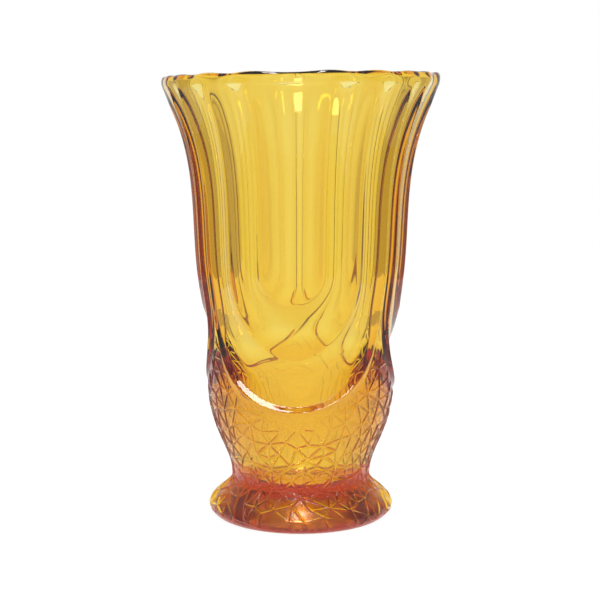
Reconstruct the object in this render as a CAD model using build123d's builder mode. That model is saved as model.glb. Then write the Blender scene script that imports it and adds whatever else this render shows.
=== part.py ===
from build123d import *
from math import cos, hypot, pi, radians, sin, tan
import os

# A pressed amber glass vase: a round foot, a waist, a bulb, and an upper body of three panels.
# Each panel has three U-shaped ridges, one inside the other, with hollow flutes between them.
# Z is up, the origin is the centre of the foot's underside, and one panel faces -Y.
# All sizes are in millimetres and all angles in degrees.

# Overall height
HEIGHT = 200.0

# Foot, from the table up to the waist
FOOT_RADIUS = 41.4
FOOT_EDGE_RISE = 3.4
FOOT_UNDERCUT = 2.9
FOOT_EDGE_ANGLE = 19.3
CONTACT_WIDTH = 5.0
UNDERSIDE_DEPTH = 3.0
WAIST_RISE = 14.8
WAIST_RADIUS = 31.0
WAIST_STEP = 0.4

# Bulb, each rise measured from the station below it
BULB_SIDE_RISE = 21.8
BULB_SIDE_RADIUS = 38.1
BULB_CROWN_RISE = 21.5
BULB_CROWN_RADIUS = 42.0

# Upper body, measured on the floors of the flutes; the flare is measured down from the rim
NECK_RISE = 18.0
NECK_RADIUS = 41.3
PANEL_RISE = 31.0
PANEL_RADIUS = 44.6
FLARE_DROP = 45.0
FLARE_RADIUS = 47.6
BEND_DROP = 20.0
BEND_RADIUS = 53.6
RIM_ROUNDING = 5.5
RIM_RADIUS = 60.1
RIM_LEAN = 1.6
RIM_NARROWING = 2.9
RIM_FLARE_ANGLE = 25.9

# Panels, and the three U-shaped ridges on each, one inside the other. An angle is measured from the
# middle of the panel to a leg of the U, a depth is the height of the U's rounded end, the outer U
# starts below the bulb's crown and each other U starts above the one around it.
PANELS = 3
OUTER_U_ANGLE = 55.0
OUTER_U_DROP = 3.5
OUTER_U_DEPTH = 37.0
MIDDLE_U_ANGLE = 35.5
MIDDLE_U_RISE = 19.5
MIDDLE_U_DEPTH = 35.0
INNER_U_ANGLE = 16.5
INNER_U_RISE = 23.9
INNER_U_DEPTH = 13.0

# Ridges: how far they stand above the flutes between them, and how their edges are softened
RIDGE_RISE = 2.2
RIDGE_SOFTENING = 0.5

# Lip where the outer U meets the bulb, and the ledge inside it
LIP_RISE = 0.4
LIP_ANGLE = 4.8
LEDGE_DEPTH = 1.4
LEDGE_WIDTH = 2.4

# Walls around the hollow inside
RIM_WALL = 4.6
BEND_WALL = 4.3
FLARE_WALL = 4.6
PANEL_WALL = 4.9
NECK_WALL = 5.6
BULB_CROWN_WALL = 10.2
BULB_SIDE_WALL = 9.2
WAIST_WALL = 5.2
FLOOR_THICKNESS = 17.0
FLOOR_CORNER = 5.0

# How finely the outlines of the upper body are drawn and stacked
FLUTE_POINTS = 6
GROOVE_POINTS = 3
BULB_LEVELS = 8
LEDGE_LEVELS = 10
LEDGE_STEP = 1.2
U_LEVELS = 16
LEG_LEVELS = 12
RIM_LEVELS = 4
WALL_STEPS = 2
HALVINGS = 30

# Heights of the stations
waist_height = FOOT_EDGE_RISE + WAIST_RISE
bulb_side_height = waist_height + BULB_SIDE_RISE
crown_height = bulb_side_height + BULB_CROWN_RISE
neck_height = crown_height + NECK_RISE
panel_height = neck_height + PANEL_RISE
flare_height = HEIGHT - FLARE_DROP
bend_height = HEIGHT - BEND_DROP
rim_height = HEIGHT - RIM_ROUNDING

rim_direction = (sin(radians(RIM_FLARE_ANGLE)), cos(radians(RIM_FLARE_ANGLE)))
foot_direction = (cos(radians(FOOT_EDGE_ANGLE)), sin(radians(FOOT_EDGE_ANGLE)))
contact_radius = FOOT_RADIUS - FOOT_UNDERCUT
underside_radius = contact_radius - CONTACT_WIDTH
underside_arc = (underside_radius**2 + UNDERSIDE_DEPTH**2) / (2 * UNDERSIDE_DEPTH)
mouth_radius = RIM_RADIUS - RIM_WALL + RIM_ROUNDING * tan(radians(RIM_FLARE_ANGLE))
waist_inside = WAIST_RADIUS - WAIST_WALL
floor_radius = waist_inside - FLOOR_CORNER
corner_height = FLOOR_THICKNESS + FLOOR_CORNER

# The three U-shaped ridges, as half angle, lowest height and depth
panel_angle = 360 / PANELS
outer_lowest = crown_height - OUTER_U_DROP
middle_lowest = outer_lowest + MIDDLE_U_RISE
inner_lowest = middle_lowest + INNER_U_RISE
leg_height = inner_lowest + INNER_U_DEPTH
outer_u = (OUTER_U_ANGLE, outer_lowest, OUTER_U_DEPTH)
middle_u = (MIDDLE_U_ANGLE, middle_lowest, MIDDLE_U_DEPTH)
inner_u = (INNER_U_ANGLE, inner_lowest, INNER_U_DEPTH)

# The line of the flutes' floors, as radius against height
with BuildLine() as wall_line:
    Spline(
        (WAIST_RADIUS, waist_height),
        (BULB_SIDE_RADIUS, bulb_side_height),
        (BULB_CROWN_RADIUS, crown_height),
        (NECK_RADIUS, neck_height),
        (PANEL_RADIUS, panel_height),
        (FLARE_RADIUS, flare_height),
        (BEND_RADIUS, bend_height),
        (RIM_RADIUS, rim_height),
        tangents=((0, 1), rim_direction),
    )
wall = wall_line.edge()


def wall_radius(height):
    """Radius of the flutes' floors at a height."""
    low, high = 0.0, 1.0
    for _ in range(HALVINGS):
        middle = (low + high) / 2
        if wall.position_at(middle, position_mode=PositionMode.PARAMETER).Y < height:
            low = middle
        else:
            high = middle
    return wall.position_at(low, position_mode=PositionMode.PARAMETER).X


def ridge_distance(ridge, angle, height, radius):
    """Distance along the glass to a ridge's line, negative inside its U."""
    half_angle, lowest, depth = ridge
    half_width = radians(half_angle) * radius
    across = angle / half_angle
    down = max(lowest + depth - height, 0) / depth
    place = hypot(across, down)
    steepness = hypot(across / half_width, down / depth)
    return (place - 1) * place / steepness if steepness else -half_width


def hollow_share(one_side, other_side):
    """0 on two neighbouring ridges and 1 half way, from the distances to both."""
    one_side = hypot(one_side, RIDGE_SOFTENING) - RIDGE_SOFTENING
    other_side = hypot(other_side, RIDGE_SOFTENING) - RIDGE_SOFTENING
    share = one_side / (one_side + other_side)
    return 4 * share * (1 - share)


def outer_radius(turn, height, floor):
    """Radius of the glass at a turn about the axis, where the flutes' floor has the radius given."""
    angle = abs((turn + panel_angle / 2) % panel_angle - panel_angle / 2)
    inner, middle, outer = (ridge_distance(ridge, angle, height, floor) for ridge in (inner_u, middle_u, outer_u))
    growth = min(max((height - outer_lowest) / (neck_height - outer_lowest), 0), 1)
    crest = floor + LIP_RISE + (RIDGE_RISE - LIP_RISE) * growth
    if outer >= 0:
        slope = min(outer / (radians(LIP_ANGLE) * floor), 1)
        return floor + (crest - floor) * (1 - slope) ** 2
    if inner < 0:
        hollow = hollow_share(inner, inner + 2 * radians(INNER_U_ANGLE) * floor)
    elif middle < 0:
        hollow = hollow_share(inner, middle)
    else:
        hollow = hollow_share(middle, outer)
    ledge = LEDGE_DEPTH * (1 - growth) * min(-outer / LEDGE_WIDTH, 1)
    return crest - ledge - RIDGE_RISE * hollow


def ring_edge(level, widening=0.0):
    """The fluted outline of the glass at a level of the wall, drawn flat."""
    floor = wall_radius(level)
    points = []
    for turn in turns:
        radius = outer_radius(turn, level, floor) + widening
        points.append(Vector(radius * sin(radians(turn)), -radius * cos(radians(turn))))
    shares = [turn / 360 for turn in turns] + [1.0]
    return Edge.make_spline(points, periodic=True, parameters=shares)


def even_steps(low, high, steps):
    """Evenly spaced values from low up to, and without, high."""
    return [low + (high - low) * count / steps for count in range(steps)]


# Angles and heights at which the outlines are taken
half_panel = even_steps(0, INNER_U_ANGLE, FLUTE_POINTS)
half_panel += even_steps(INNER_U_ANGLE, MIDDLE_U_ANGLE, FLUTE_POINTS)
half_panel += even_steps(MIDDLE_U_ANGLE, OUTER_U_ANGLE, FLUTE_POINTS)
half_panel += even_steps(OUTER_U_ANGLE, panel_angle / 2, GROOVE_POINTS)
other_half = [panel_angle - angle for angle in [panel_angle / 2] + half_panel[:0:-1]]
turns = [panel_angle * panel + angle for panel in range(PANELS) for angle in half_panel + other_half]
ledge_height = outer_lowest + LEDGE_LEVELS * LEDGE_STEP
levels = even_steps(waist_height, outer_lowest, BULB_LEVELS)
levels += even_steps(outer_lowest, ledge_height, LEDGE_LEVELS)
levels += even_steps(ledge_height, leg_height, U_LEVELS)
levels += even_steps(leg_height, rim_height, LEG_LEVELS)
levels += [rim_height]

# Points on the inside, a wall's thickness within the flutes' floors
wall_stations = [
    (bulb_side_height, BULB_SIDE_WALL),
    (crown_height, BULB_CROWN_WALL),
    (neck_height, NECK_WALL),
    (panel_height, PANEL_WALL),
    (flare_height, FLARE_WALL),
    (bend_height, BEND_WALL),
    (rim_height, RIM_WALL),
]
inside_points = []
for (low, low_wall), (high, high_wall) in zip(wall_stations, wall_stations[1:]):
    for share in even_steps(0, 1, WALL_STEPS):
        level = low + (high - low) * share
        inside_points.append((wall_radius(level) - low_wall - (high_wall - low_wall) * share, level))
inside_points.append((RIM_RADIUS - RIM_WALL, rim_height))

with BuildPart() as glass_vase:
    # Foot, up to the waist
    with BuildSketch(Plane.XZ):
        with BuildLine():
            Line((0, 0), (contact_radius, 0))
            Spline(
                (contact_radius, 0),
                (FOOT_RADIUS, FOOT_EDGE_RISE),
                (WAIST_RADIUS + WAIST_STEP, waist_height),
                tangents=(foot_direction, (0, 1)),
            )
            Polyline((WAIST_RADIUS + WAIST_STEP, waist_height), (0, waist_height), (0, 0))
        make_face()
    revolve(axis=Axis.Z)

    # Bulb and fluted upper body
    for level in levels:
        with BuildSketch(Plane.XY.offset(level)):
            with BuildLine():
                add(ring_edge(level))
            make_face()
    loft()

    # Rounded outer edge of the rim
    for count in range(RIM_LEVELS + 1):
        over = pi / 2 * count / RIM_LEVELS
        with BuildSketch(Plane.XY.offset(rim_height + RIM_ROUNDING * sin(over))):
            with BuildLine():
                add(ring_edge(rim_height, RIM_LEAN * sin(over) - RIM_NARROWING * (1 - cos(over))))
            make_face()
    loft()

    # Hollow left by the plunger, with a rounded corner at its floor
    with BuildSketch(Plane.XZ):
        with BuildLine():
            Line((0, FLOOR_THICKNESS), (floor_radius, FLOOR_THICKNESS))
            TangentArc((floor_radius, FLOOR_THICKNESS), (waist_inside, corner_height), tangent=(1, 0))
            Spline((waist_inside, corner_height), *inside_points, (mouth_radius, HEIGHT))
            Polyline((mouth_radius, HEIGHT), (0, HEIGHT), (0, FLOOR_THICKNESS))
        make_face()
    revolve(axis=Axis.Z, mode=Mode.SUBTRACT)

    # Shallow dished underside, which leaves a ring to stand on
    with BuildSketch(Plane.XZ):
        with BuildLine():
            RadiusArc((0, UNDERSIDE_DEPTH), (underside_radius, 0), underside_arc)
            Polyline((underside_radius, 0), (0, 0), (0, UNDERSIDE_DEPTH))
        make_face()
    revolve(axis=Axis.Z, mode=Mode.SUBTRACT)

glass_vase.part.label = "glass_vase"
os.makedirs("parts", exist_ok=True)
export_step(glass_vase.part, "parts/glass_vase.step")
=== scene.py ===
from math import cos, pi, radians, sin, tan

import bpy
import numpy as np
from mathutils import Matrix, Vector, geometry


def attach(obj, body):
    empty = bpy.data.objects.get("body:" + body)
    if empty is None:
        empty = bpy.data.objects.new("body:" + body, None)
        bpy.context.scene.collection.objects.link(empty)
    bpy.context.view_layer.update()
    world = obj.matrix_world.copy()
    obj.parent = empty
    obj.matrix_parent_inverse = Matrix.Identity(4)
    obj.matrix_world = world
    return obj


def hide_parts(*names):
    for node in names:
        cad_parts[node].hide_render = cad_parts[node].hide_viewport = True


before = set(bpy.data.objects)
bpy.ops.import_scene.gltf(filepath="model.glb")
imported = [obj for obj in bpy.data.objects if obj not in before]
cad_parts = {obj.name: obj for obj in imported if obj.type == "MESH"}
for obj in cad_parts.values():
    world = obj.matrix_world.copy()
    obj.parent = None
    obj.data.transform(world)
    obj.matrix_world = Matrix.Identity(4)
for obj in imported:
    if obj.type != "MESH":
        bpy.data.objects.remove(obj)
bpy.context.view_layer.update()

# A pressed amber glass vase, as one closed surface of glass. Sizes are in millimetres and degrees.
# They are the solid's own, apart from a lower and deeper ledge under the outer U, softer ridges, a
# deeper underside and a rounder floor corner. The crackle and the rim's wave, smoothing, rounded
# inner edge and unevenness are added here.
MM = 0.001

# Overall height
HEIGHT = 200.0

# Foot
FOOT_RADIUS = 41.4
FOOT_EDGE_RISE = 3.4
FOOT_UNDERCUT = 2.9
FOOT_EDGE_ANGLE = 19.3
CONTACT_WIDTH = 5.0
UNDERSIDE_DEPTH = 7.0
WAIST_RISE = 14.8
WAIST_RADIUS = 31.0

# Bulb
BULB_SIDE_RISE = 21.8
BULB_SIDE_RADIUS = 38.1
BULB_CROWN_RISE = 21.5
BULB_CROWN_RADIUS = 42.0

# Upper body
NECK_RISE = 18.0
NECK_RADIUS = 41.3
PANEL_RISE = 31.0
PANEL_RADIUS = 44.6
FLARE_DROP = 45.0
FLARE_RADIUS = 47.6
BEND_DROP = 20.0
BEND_RADIUS = 53.6
RIM_ROUNDING = 5.5
RIM_RADIUS = 60.1
RIM_LEAN = 1.6
RIM_NARROWING = 2.9
RIM_FLARE_ANGLE = 25.9
RIM_WAVE = 1.0
RIM_INNER_ROUNDING = 4.0
RIM_UNEVEN = 1.8

# Angle to each side over which the rim is smoothed, and how far down this reaches
RIM_SMOOTHING = 5.0
RIM_SMOOTHING_DEPTH = 9.0

# Panels, and the half angle, the start and the depth of the three U-shaped ridges on each
PANELS = 3
OUTER_U_ANGLE = 55.0
OUTER_U_DROP = 7.5
OUTER_U_DEPTH = 41.0
MIDDLE_U_ANGLE = 35.5
MIDDLE_U_RISE = 23.5
MIDDLE_U_DEPTH = 35.0
INNER_U_ANGLE = 16.5
INNER_U_RISE = 23.9
INNER_U_DEPTH = 13.0
RIDGE_RISE = 2.2
RIDGE_SOFTENING = 0.9
LIP_RISE = 0.4
LIP_ANGLE = 4.8
LEDGE_DEPTH = 2.4
LEDGE_WIDTH = 2.4

# Walls around the hollow inside
RIM_WALL = 4.6
BEND_WALL = 4.3
FLARE_WALL = 4.6
PANEL_WALL = 4.9
NECK_WALL = 5.6
BULB_CROWN_WALL = 10.2
BULB_SIDE_WALL = 9.2
WAIST_WALL = 5.2
FLOOR_THICKNESS = 17.0
FLOOR_CORNER = 12.0
WALL_STEPS = 2

# Crackle: straight raised lines that join scattered points into triangles
CRACKLE_SEED = 7
CRACKLE_SPACING = 5.5
CRACKLE_HALF_WIDTH = 0.6
CRACKLE_RISE = 0.56
CRACKLE_WEAKEST = 0.7
CRACKLE_MISSING = 0.13
CRACKLE_START = 3.0
CRACKLE_FADE = 1.2
CRACKLE_TRIES = 14000
UNWRAP_RADIUS = 40.0
MERGE_DISTANCE = 0.00001

# Roughness of the glass: polished panels, crackled foot and bulb, and the plunger's side
PANEL_ROUGHNESS = 0.015
CRACKLE_ROUGHNESS = 0.09
FOOT_ROUGHNESS = 0.17
INSIDE_ROUGHNESS = 0.05

# Mesh
COLUMNS = 800
FINE_STEP = 0.4
MIDDLE_STEP = 0.6
LONG_STEP = 1.8
INSIDE_STEP = 2.5
RIM_ROWS = 7
CORNER_ROWS = 7
FLOOR_ROWS = 7
DISH_ROWS = 13
CONTACT_ROWS = 5
FOOT_LINE_POINTS = 400
WALL_LINE_POINTS = 2000
LEAST_STEEPNESS = 1e-9
LEAST_DISTANCE = 0.001

# Glass: surface tint, absorption by depth in metres, and the ripple of its surface
GLASS_TINT = (0.97, 0.97, 0.95, 1)
GLASS_IOR = 1.52
ABSORPTION_COLOR = (0.97, 0.847, 0.0, 1)
ABSORPTION_DENSITY = 285.0
RIPPLE_SCALE = 60.0
RIPPLE_DETAIL = 2.0
RIPPLE_STRENGTH = 0.15
RIPPLE_DEPTH = 0.0004
ROUGHNESS_LEAST = 0.7
ROUGHNESS_MOST = 1.3

# Floor, in metres, and how much of its white shows whatever light falls on it
FLOOR_HALF_WIDTH = 0.4
FLOOR_HALF_LENGTH = 4
PAPER_COLOR = (0.85, 0.85, 0.85, 1)
PAPER_ROUGHNESS = 0.9
PAPER_GLOW = 1.1
PAPER_GLOW_SHARE = 0.85
WHITE = (1, 1, 1, 1)

# Surroundings: where the white in front and behind and the ceiling start and are full, and levels
WHITE_START = 0.72
WHITE_FULL = 0.93
SIDE_LEVEL = 0.6
CEILING_START = 0.55
CEILING_FULL = 0.75
CEILING_LEVEL = 0.6

# Softbox, in metres and watts
SOFTBOX_WIDTH = 0.16
SOFTBOX_LENGTH = 0.8
SOFTBOX_POWER = 6.4
SOFTBOX_COLOR = (1.0, 0.93, 0.92)
SOFTBOX_PLACE = (0.01, -0.24, 1.0)
SOFTBOX_TILT = 18.0

# Camera
CAMERA_DISTANCE = 633.35
CAMERA_HEIGHT = 180.89
CAMERA_AZIMUTH = 4.2
CAMERA_PITCH = 7.48
CAMERA_TURN = 0.03
CAMERA_LENS = 84.5
CAMERA_SENSOR = 36.0

# Heights of the stations
waist_height = FOOT_EDGE_RISE + WAIST_RISE
bulb_side_height = waist_height + BULB_SIDE_RISE
crown_height = bulb_side_height + BULB_CROWN_RISE
neck_height = crown_height + NECK_RISE
panel_height = neck_height + PANEL_RISE
flare_height = HEIGHT - FLARE_DROP
bend_height = HEIGHT - BEND_DROP
rim_height = HEIGHT - RIM_ROUNDING
contact_radius = FOOT_RADIUS - FOOT_UNDERCUT
underside_radius = contact_radius - CONTACT_WIDTH
mouth_radius = RIM_RADIUS - RIM_WALL + RIM_ROUNDING * tan(radians(RIM_FLARE_ANGLE))
waist_inside = WAIST_RADIUS - WAIST_WALL
floor_radius = waist_inside - FLOOR_CORNER
corner_height = FLOOR_THICKNESS + FLOOR_CORNER
rim_direction = (sin(radians(RIM_FLARE_ANGLE)), cos(radians(RIM_FLARE_ANGLE)))
foot_direction = (cos(radians(FOOT_EDGE_ANGLE)), sin(radians(FOOT_EDGE_ANGLE)))

# The three U-shaped ridges, as half angle, lowest height and depth
panel_angle = 360 / PANELS
outer_lowest = crown_height - OUTER_U_DROP
middle_lowest = outer_lowest + MIDDLE_U_RISE
inner_lowest = middle_lowest + INNER_U_RISE
leg_height = inner_lowest + INNER_U_DEPTH
outer_u = (OUTER_U_ANGLE, outer_lowest, OUTER_U_DEPTH)
middle_u = (MIDDLE_U_ANGLE, middle_lowest, MIDDLE_U_DEPTH)
inner_u = (INNER_U_ANGLE, inner_lowest, INNER_U_DEPTH)


def smooth_line(points, start, end, count):
    """Points on a cubic spline through the given (radius, height) points, with set end directions."""
    points = np.array(points, float)
    steps = np.hypot(*np.diff(points, axis=0).T)
    knots = np.concatenate(([0], np.cumsum(steps)))
    size = len(points)
    matrix = np.eye(size)
    slopes = np.zeros((size, 2))
    slopes[0] = np.array(start) / np.hypot(*start)
    slopes[-1] = np.array(end) / np.hypot(*end)
    chords = np.diff(points, axis=0) / steps[:, None]
    for place in range(1, size - 1):
        before, after = steps[place - 1], steps[place]
        matrix[place, place - 1:place + 2] = after, 2 * (before + after), before
        slopes[place] = 3 * (after * chords[place - 1] + before * chords[place])
    slopes = np.linalg.solve(matrix, slopes)
    where = np.linspace(0, knots[-1], count)
    piece = np.clip(np.searchsorted(knots, where, side="right") - 1, 0, size - 2)
    share = ((where - knots[piece]) / steps[piece])[:, None]
    width = steps[piece][:, None]
    return (
        (1 + 2 * share) * (1 - share) ** 2 * points[piece]
        + share * (1 - share) ** 2 * width * slopes[piece]
        + share ** 2 * (3 - 2 * share) * points[piece + 1]
        + share ** 2 * (share - 1) * width * slopes[piece + 1]
    )


def ridge_distance(ridge, angle, height, radius):
    """How far a place is outside a ridge's line, in millimetres; inside the U it is negative."""
    half_angle, lowest, depth = ridge
    across = np.abs(angle) / half_angle
    down = np.maximum(lowest + depth - height, 0) / depth
    place = np.hypot(across, down)
    half_width = np.radians(half_angle) * radius
    steepness = np.hypot(across / half_width, down / depth)
    distance = (place - 1) * place / np.maximum(steepness, LEAST_STEEPNESS)
    return np.where(steepness > 0, distance, -half_width)


turns = 2 * pi * np.arange(COLUMNS) / COLUMNS
angles = (np.degrees(turns) + panel_angle / 2) % panel_angle - panel_angle / 2


def hollow_share(inner, outer):
    """0 on two neighbouring ridges and 1 half way between them, from the distances to both."""
    inner = np.hypot(inner, RIDGE_SOFTENING) - RIDGE_SOFTENING
    outer = np.hypot(outer, RIDGE_SOFTENING) - RIDGE_SOFTENING
    share = inner / np.maximum(inner + outer, LEAST_DISTANCE)
    return 4 * share * (1 - share)


def outer_radius(height, floor):
    """The outside of the glass for every column, over rows with these heights and floor radii."""
    growth = np.clip((height - outer_lowest) / (neck_height - outer_lowest), 0, 1)
    inner = ridge_distance(inner_u, angles, height, floor)
    middle = ridge_distance(middle_u, angles, height, floor)
    outer = ridge_distance(outer_u, angles, height, floor)
    other_leg = inner + 2 * radians(INNER_U_ANGLE) * floor
    hollow = np.where(inner < 0, hollow_share(inner, other_leg), 0)
    hollow = np.where((inner >= 0) & (middle < 0), hollow_share(inner, middle), hollow)
    hollow = np.where((middle >= 0) & (outer < 0), hollow_share(middle, outer), hollow)
    crest = floor + LIP_RISE + (RIDGE_RISE - LIP_RISE) * growth
    ledge_share = 1 - np.clip((height - outer_lowest) / OUTER_U_DEPTH, 0, 1) ** 2
    ledge = LEDGE_DEPTH * ledge_share * np.clip(-outer / LEDGE_WIDTH, 0, 1)
    slope = np.clip(outer / (radians(LIP_ANGLE) * floor), 0, 1)
    inside_u = crest - ledge - RIDGE_RISE * hollow
    outside_u = floor + (crest - floor) * (1 - slope) ** 2
    return np.where(outer < 0, inside_u, outside_u)


def stepped(low, high, step):
    """Heights from low to high, without high, about one step apart."""
    return np.linspace(low, high, max(round((high - low) / step), 1), endpoint=False)


def run_length(line):
    """Length along a line from its first point to each of its points."""
    return np.concatenate(([0], np.cumsum(np.hypot(*np.diff(line, axis=0).T))))


def all_round(values):
    """Rows that have one value all the way round."""
    return np.repeat(values[:, None], COLUMNS, axis=1)


# Lines of the outside and the inside, as radius and height
foot_line = smooth_line(
    [(contact_radius, 0), (FOOT_RADIUS, FOOT_EDGE_RISE), (WAIST_RADIUS, waist_height)],
    foot_direction, (0, 1), FOOT_LINE_POINTS,
)
wall_line = smooth_line(
    [
        (WAIST_RADIUS, waist_height),
        (BULB_SIDE_RADIUS, bulb_side_height),
        (BULB_CROWN_RADIUS, crown_height),
        (NECK_RADIUS, neck_height),
        (PANEL_RADIUS, panel_height),
        (FLARE_RADIUS, flare_height),
        (BEND_RADIUS, bend_height),
        (RIM_RADIUS, rim_height),
    ],
    (0, 1), rim_direction, WALL_LINE_POINTS,
)
wall_stations = [
    (bulb_side_height, BULB_SIDE_WALL),
    (crown_height, BULB_CROWN_WALL),
    (neck_height, NECK_WALL),
    (panel_height, PANEL_WALL),
    (flare_height, FLARE_WALL),
    (bend_height, BEND_WALL),
    (rim_height, RIM_WALL),
]
inside_points = [(waist_inside, corner_height)]
for (low, low_wall), (high, high_wall) in zip(wall_stations, wall_stations[1:]):
    for share in np.linspace(0, 1, WALL_STEPS, endpoint=False):
        level = low + (high - low) * share
        wall = low_wall + (high_wall - low_wall) * share
        inside_points.append((np.interp(level, wall_line[:, 1], wall_line[:, 0]) - wall, level))
inside_points += [(RIM_RADIUS - RIM_WALL, rim_height), (mouth_radius, HEIGHT)]
inside_line = smooth_line(inside_points, (0, 1), rim_direction, WALL_LINE_POINTS)

# The outside below the rim, row by row from the contact ring up
foot_length = run_length(foot_line)
foot_rows = stepped(0, foot_length[-1], FINE_STEP)
crackle_top = outer_lowest + OUTER_U_DEPTH
wall_heights = np.concatenate((
    stepped(waist_height, crackle_top, FINE_STEP),
    stepped(crackle_top, leg_height, MIDDLE_STEP),
    stepped(leg_height, rim_height, LONG_STEP),
    [rim_height],
))
wall_radii = np.interp(wall_heights, wall_line[:, 1], wall_line[:, 0])
line_radius = np.concatenate((np.interp(foot_rows, foot_length, foot_line[:, 0]), wall_radii))
line_height = np.concatenate((np.interp(foot_rows, foot_length, foot_line[:, 1]), wall_heights))
on_wall = np.arange(len(line_radius)) >= len(foot_rows)
radius = all_round(line_radius)
height = all_round(line_height)
radius[on_wall] = outer_radius(height[on_wall], radius[on_wall])

# The ridges soften into the rim
reach = round(RIM_SMOOTHING / 360 * COLUMNS)
softened = np.mean([np.roll(radius, shift, axis=1) for shift in range(-reach, reach + 1)], axis=0)
near_rim = np.clip((height - rim_height) / RIM_SMOOTHING_DEPTH + 1, 0, 1)
radius += near_rim * (softened - radius)

# Crackle points, scattered on the unwrapped foot and bulb
way = run_length(np.stack((line_radius, line_height), axis=1))
crackle_way = float(np.interp(crackle_top, line_height[on_wall], way[on_wall]))
around = 2 * pi * UNWRAP_RADIUS
chance = np.random.default_rng(CRACKLE_SEED)
spots = np.empty((0, 2))
for spot in chance.random((CRACKLE_TRIES, 2)) * (around, crackle_way):
    off = np.abs(spots - spot)
    off[:, 0] = np.minimum(off[:, 0], around - off[:, 0])
    if not len(spots) or np.hypot(*off.T).min() > CRACKLE_SPACING:
        spots = np.vstack((spots, spot))
tiled = np.vstack((spots - (around, 0), spots, spots + (around, 0)))
flat_spots = [Vector(spot) for spot in tiled]
corners, edges, _, _, _, _ = geometry.delaunay_2d_cdt(flat_spots, [], [], 0, MERGE_DISTANCE)

# Height of the crackle lines on the mesh's rows and columns
crackle = np.zeros_like(radius)
for first, last in edges:
    start, end = np.array(corners[first]), np.array(corners[last])
    middle = (start + end) / 2
    strength = chance.uniform(CRACKLE_WEAKEST, 1.0)
    missing = chance.random() < CRACKLE_MISSING
    if missing or not 0 <= middle[0] < around:
        continue
    margin = 2 * CRACKLE_HALF_WIDTH
    way_low, way_high = min(start[1], end[1]) - margin, max(start[1], end[1]) + margin
    rows = slice(*np.searchsorted(way, (way_low, way_high)))
    if rows.start == rows.stop:
        continue
    low, high = min(start[0], end[0]) - margin, max(start[0], end[0]) + margin
    columns = np.arange(int(low / around * COLUMNS), int(high / around * COLUMNS) + 2)
    squeeze = line_radius[rows].mean() / UNWRAP_RADIUS
    line = (end - start) * (squeeze, 1)
    right = (columns * around / COLUMNS - start[0])[None, :] * squeeze
    up = (way[rows] - start[1])[:, None]
    share = np.clip((right * line[0] + up * line[1]) / line.dot(line), 0, 1)
    apart = np.hypot(right - share * line[0], up - share * line[1])
    bump = strength * np.cos(pi / 2 * np.minimum(apart / CRACKLE_HALF_WIDTH, 1)) ** 2
    place = np.ix_(np.arange(rows.start, rows.stop), columns % COLUMNS)
    crackle[place] = np.maximum(crackle[place], bump)

# Crackle stops at the outer U's lip and just above the contact ring
beyond = ridge_distance(outer_u, angles, line_height[:, None], line_radius[:, None])
beyond -= radians(LIP_ANGLE) * line_radius[:, None]
crackle *= np.clip(beyond / CRACKLE_FADE, 0, 1)
crackle *= np.clip((way[:, None] - CRACKLE_START) / CRACKLE_FADE, 0, 1)
run_radius = np.gradient(line_radius, way)[:, None]
run_height = np.gradient(line_height, way)[:, None]
radius += CRACKLE_RISE * crackle * run_height
height -= CRACKLE_RISE * crackle * run_radius

# Roughness of the outside, from the crackle to the panels
frost = np.clip(beyond / CRACKLE_FADE, 0, 1) * (CRACKLE_ROUGHNESS - PANEL_ROUGHNESS)
frost += PANEL_ROUGHNESS
frost[~on_wall] = FOOT_ROUGHNESS

# Rim: a rounded outer edge, a wave that follows the ridges, and a rounded inner edge
rim_radius = radius[-1]
rim_wave = RIM_WAVE * ((rim_radius - RIM_RADIUS) / RIDGE_RISE - 1)
inner_edge = HEIGHT - RIM_INNER_ROUNDING
inner_edge_radius = float(np.interp(inner_edge, inside_line[:, 1], inside_line[:, 0]))
top_radius = rim_radius + RIM_LEAN - RIM_NARROWING
rim_turns = np.linspace(0, pi / 2, RIM_ROWS + 1)[1:]
for over in rim_turns:
    row_radius = rim_radius + RIM_LEAN * sin(over) - RIM_NARROWING * (1 - cos(over))
    radius = np.vstack((radius, row_radius))
    height = np.vstack((height, rim_height + (RIM_ROUNDING + rim_wave) * sin(over)))
for over in rim_turns:
    row_radius = inner_edge_radius + (top_radius - inner_edge_radius) * (1 - sin(over))
    radius = np.vstack((radius, row_radius))
    height = np.vstack((height, inner_edge + (RIM_INNER_ROUNDING + rim_wave) * cos(over)))

# Inside, from the rim down to the floor, and the underside
inside_length = run_length(inside_line)
edge_length = float(np.interp(inner_edge, inside_line[:, 1], inside_length))
inside_rows = stepped(edge_length, 0, -INSIDE_STEP)[1:]
corner_turns = np.linspace(0, pi / 2, CORNER_ROWS)
floor_rows = np.linspace(floor_radius, 0, FLOOR_ROWS)[1:-1]
arc_radius = (underside_radius ** 2 + UNDERSIDE_DEPTH ** 2) / (2 * UNDERSIDE_DEPTH)
dish_rows = np.linspace(0, underside_radius, DISH_ROWS)[1:]
dish_height = UNDERSIDE_DEPTH - arc_radius + np.sqrt(arc_radius ** 2 - dish_rows ** 2)
contact_rows = np.linspace(underside_radius, contact_radius, CONTACT_ROWS)[1:-1]
below_radius = np.concatenate((dish_rows, contact_rows))
below_height = np.concatenate((dish_height, np.zeros_like(contact_rows)))
within_radius = np.concatenate((
    np.interp(inside_rows, inside_length, inside_line[:, 0]),
    floor_radius + FLOOR_CORNER * np.cos(corner_turns),
    floor_rows,
))
within_height = np.concatenate((
    np.interp(inside_rows, inside_length, inside_line[:, 1]),
    corner_height - FLOOR_CORNER * np.sin(corner_turns),
    np.full_like(floor_rows, FLOOR_THICKNESS),
))
radius = np.vstack((all_round(below_radius), radius, all_round(within_radius)))
height = np.vstack((all_round(below_height), height, all_round(within_height)))
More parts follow.
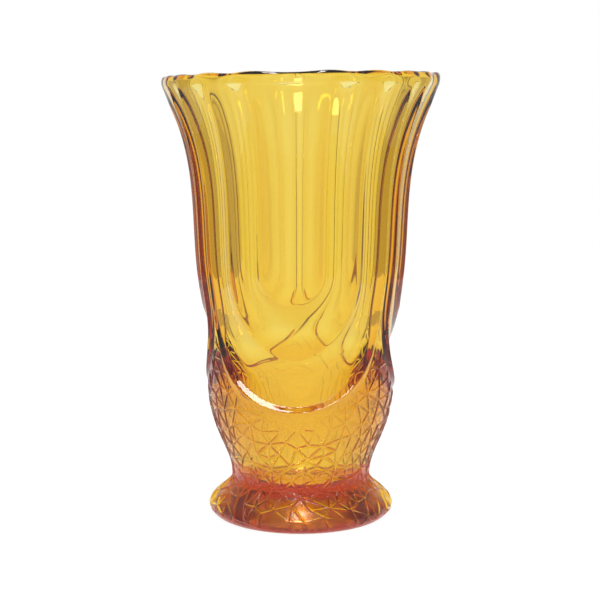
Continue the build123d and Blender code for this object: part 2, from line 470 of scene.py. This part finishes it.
frost = np.vstack((
    np.full((len(below_radius), COLUMNS), FOOT_ROUGHNESS),
    frost,
    np.full((2 * RIM_ROWS, COLUMNS), PANEL_ROUGHNESS),
    np.full((len(within_radius), COLUMNS), INSIDE_ROUGHNESS),
))

# The rim stands a little lower on the left
across = radius * np.sin(turns)
ramp = np.clip((height - leg_height) / (HEIGHT - leg_height), 0, 1) ** 2
height -= RIM_UNEVEN * ramp * (0.5 - 0.5 * across / RIM_RADIUS)

# The closed surface
row_count = len(radius)
points = np.stack((across, -radius * np.cos(turns), height), axis=2).reshape(-1, 3)
points = np.vstack((points, (0, 0, UNDERSIDE_DEPTH), (0, 0, FLOOR_THICKNESS))) * MM
numbers = np.arange(row_count * COLUMNS).reshape(row_count, COLUMNS)
beside = np.roll(numbers, -1, axis=1)
quads = np.stack((numbers[:-1], beside[:-1], beside[1:], numbers[1:]), axis=2).reshape(-1)
bottom, top = len(points) - 2, len(points) - 1
fans = np.concatenate((
    np.stack((np.full(COLUMNS, bottom), beside[0], numbers[0]), axis=1).reshape(-1),
    np.stack((numbers[-1], beside[-1], np.full(COLUMNS, top)), axis=1).reshape(-1),
))
quad_count, fan_count = len(quads) // 4, len(fans) // 3
mesh = bpy.data.meshes.new("vase_glass")
mesh.vertices.add(len(points))
mesh.vertices.foreach_set("co", points.reshape(-1))
mesh.loops.add(len(quads) + len(fans))
mesh.loops.foreach_set("vertex_index", np.concatenate((quads, fans)))
mesh.polygons.add(quad_count + fan_count)
loop_starts = np.concatenate((4 * np.arange(quad_count), len(quads) + 3 * np.arange(fan_count)))
mesh.polygons.foreach_set("loop_start", loop_starts)
mesh.update(calc_edges=True)
mesh.validate()
mesh.shade_smooth()
frost = np.append(frost.reshape(-1), (FOOT_ROUGHNESS, INSIDE_ROUGHNESS))
mesh.attributes.new("frost", "FLOAT", "POINT").data.foreach_set("value", frost)
vase = bpy.data.objects.new("vase_glass", mesh)
bpy.context.scene.collection.objects.link(vase)
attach(vase, "root")
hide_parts("glass_vase")


def node(tree, kind, **values):
    """A new node in a tree, with values set on its inputs."""
    made = tree.nodes.new(kind)
    for name, value in values.items():
        made.inputs[name.replace("_", " ")].default_value = value
    return made


def math_node(tree, operation, first, second):
    """The output of a math node, fed by two outputs or numbers."""
    made = tree.nodes.new("ShaderNodeMath")
    made.operation = operation
    for socket, value in zip(made.inputs, (first, second)):
        if isinstance(value, float):
            socket.default_value = value
        else:
            tree.links.new(value, socket)
    return made.outputs[0]


# Amber glass
glass = bpy.data.materials.new("amber_glass")
glass.use_nodes = True
tree = glass.node_tree
surface = tree.nodes["Principled BSDF"]
surface.inputs["Base Color"].default_value = GLASS_TINT
surface.inputs["Transmission Weight"].default_value = 1.0
surface.inputs["IOR"].default_value = GLASS_IOR
absorb = node(tree, "ShaderNodeVolumeAbsorption", Color=ABSORPTION_COLOR, Density=ABSORPTION_DENSITY)
tree.links.new(absorb.outputs["Volume"], tree.nodes["Material Output"].inputs["Volume"])
coordinates = node(tree, "ShaderNodeTexCoord")
ripple = node(tree, "ShaderNodeTexNoise", Scale=RIPPLE_SCALE, Detail=RIPPLE_DETAIL)
tree.links.new(coordinates.outputs["Object"], ripple.inputs["Vector"])
finish = node(tree, "ShaderNodeAttribute")
finish.attribute_name = "frost"
cloud = node(tree, "ShaderNodeMapRange", To_Min=ROUGHNESS_LEAST, To_Max=ROUGHNESS_MOST)
tree.links.new(ripple.outputs["Fac"], cloud.inputs["Value"])
roughness = math_node(tree, "MULTIPLY", finish.outputs["Fac"], cloud.outputs["Result"])
tree.links.new(roughness, surface.inputs["Roughness"])
uneven = node(tree, "ShaderNodeBump", Strength=RIPPLE_STRENGTH, Distance=RIPPLE_DEPTH)
tree.links.new(ripple.outputs["Fac"], uneven.inputs["Height"])
tree.links.new(uneven.outputs["Normal"], surface.inputs["Normal"])
mesh.materials.append(glass)

# Floor
floor_corners = [
    (-FLOOR_HALF_WIDTH, -FLOOR_HALF_LENGTH, 0),
    (FLOOR_HALF_WIDTH, -FLOOR_HALF_LENGTH, 0),
    (FLOOR_HALF_WIDTH, FLOOR_HALF_LENGTH, 0),
    (-FLOOR_HALF_WIDTH, FLOOR_HALF_LENGTH, 0),
]
floor_mesh = bpy.data.meshes.new("floor")
floor_mesh.from_pydata(floor_corners, [], [(0, 1, 2, 3)])
floor = bpy.data.objects.new("floor", floor_mesh)
bpy.context.scene.collection.objects.link(floor)
paper = bpy.data.materials.new("white_paper")
paper.use_nodes = True
tree = paper.node_tree
lit = tree.nodes["Principled BSDF"]
lit.inputs["Base Color"].default_value = PAPER_COLOR
lit.inputs["Roughness"].default_value = PAPER_ROUGHNESS
glow = node(tree, "ShaderNodeEmission", Color=WHITE, Strength=PAPER_GLOW)
light_path = node(tree, "ShaderNodeLightPath")
seen = math_node(
    tree, "MAXIMUM", light_path.outputs["Is Camera Ray"], light_path.outputs["Is Glossy Ray"]
)
seen = math_node(tree, "MAXIMUM", seen, light_path.outputs["Is Transmission Ray"])
glow_share = math_node(tree, "MULTIPLY", seen, PAPER_GLOW_SHARE)
mixed = node(tree, "ShaderNodeMixShader")
tree.links.new(glow_share, mixed.inputs[0])
tree.links.new(lit.outputs[0], mixed.inputs[1])
tree.links.new(glow.outputs[0], mixed.inputs[2])
tree.links.new(mixed.outputs[0], tree.nodes["Material Output"].inputs["Surface"])
floor_mesh.materials.append(paper)

# Surroundings: white in front and behind, darker at the sides
world = bpy.data.worlds.new("studio")
bpy.context.scene.world = world
world.use_nodes = True
tree = world.node_tree
outlook = node(tree, "ShaderNodeTexCoord")
direction = node(tree, "ShaderNodeSeparateXYZ")
tree.links.new(outlook.outputs["Generated"], direction.inputs["Vector"])
front_or_back = math_node(tree, "ABSOLUTE", direction.outputs["Y"], 0.0)
sides = node(
    tree, "ShaderNodeMapRange",
    From_Min=WHITE_START, From_Max=WHITE_FULL, To_Min=SIDE_LEVEL, To_Max=1.0,
)
sides.interpolation_type = "SMOOTHSTEP"
tree.links.new(front_or_back, sides.inputs["Value"])
ceiling = node(
    tree, "ShaderNodeMapRange",
    From_Min=CEILING_START, From_Max=CEILING_FULL, To_Min=0.0, To_Max=CEILING_LEVEL,
)
ceiling.interpolation_type = "SMOOTHSTEP"
tree.links.new(direction.outputs["Z"], ceiling.inputs["Value"])
brightness = math_node(tree, "MAXIMUM", sides.outputs["Result"], ceiling.outputs["Result"])
light_path = node(tree, "ShaderNodeLightPath")
shown = node(tree, "ShaderNodeMix", B=1.0)
tree.links.new(light_path.outputs["Is Camera Ray"], shown.inputs["Factor"])
tree.links.new(brightness, shown.inputs["A"])
background = tree.nodes["Background"]
background.inputs["Color"].default_value = WHITE
tree.links.new(shown.outputs[0], background.inputs["Strength"])

# Long softbox above, from the middle to the front
softbox = bpy.data.lights.new("softbox", "AREA")
softbox.shape = "RECTANGLE"
softbox.size = SOFTBOX_WIDTH
softbox.size_y = SOFTBOX_LENGTH
softbox.energy = SOFTBOX_POWER
softbox.color = SOFTBOX_COLOR
lamp = bpy.data.objects.new("softbox", softbox)
lamp.location = SOFTBOX_PLACE
lamp.rotation_euler = (radians(SOFTBOX_TILT), 0, 0)
bpy.context.scene.collection.objects.link(lamp)

# Camera
lens = bpy.data.cameras.new("camera")
lens.lens = CAMERA_LENS
lens.sensor_width = CAMERA_SENSOR
camera = bpy.data.objects.new("camera", lens)
turn = radians(CAMERA_AZIMUTH)
camera_place = (sin(turn) * CAMERA_DISTANCE, -cos(turn) * CAMERA_DISTANCE, CAMERA_HEIGHT)
camera.location = Vector(camera_place) * MM
camera.rotation_euler = (pi / 2 - radians(CAMERA_PITCH), 0, turn + radians(CAMERA_TURN))
bpy.context.scene.collection.objects.link(camera)
bpy.context.scene.camera = camera
bpy.context.scene.view_settings.view_transform = "Standard"
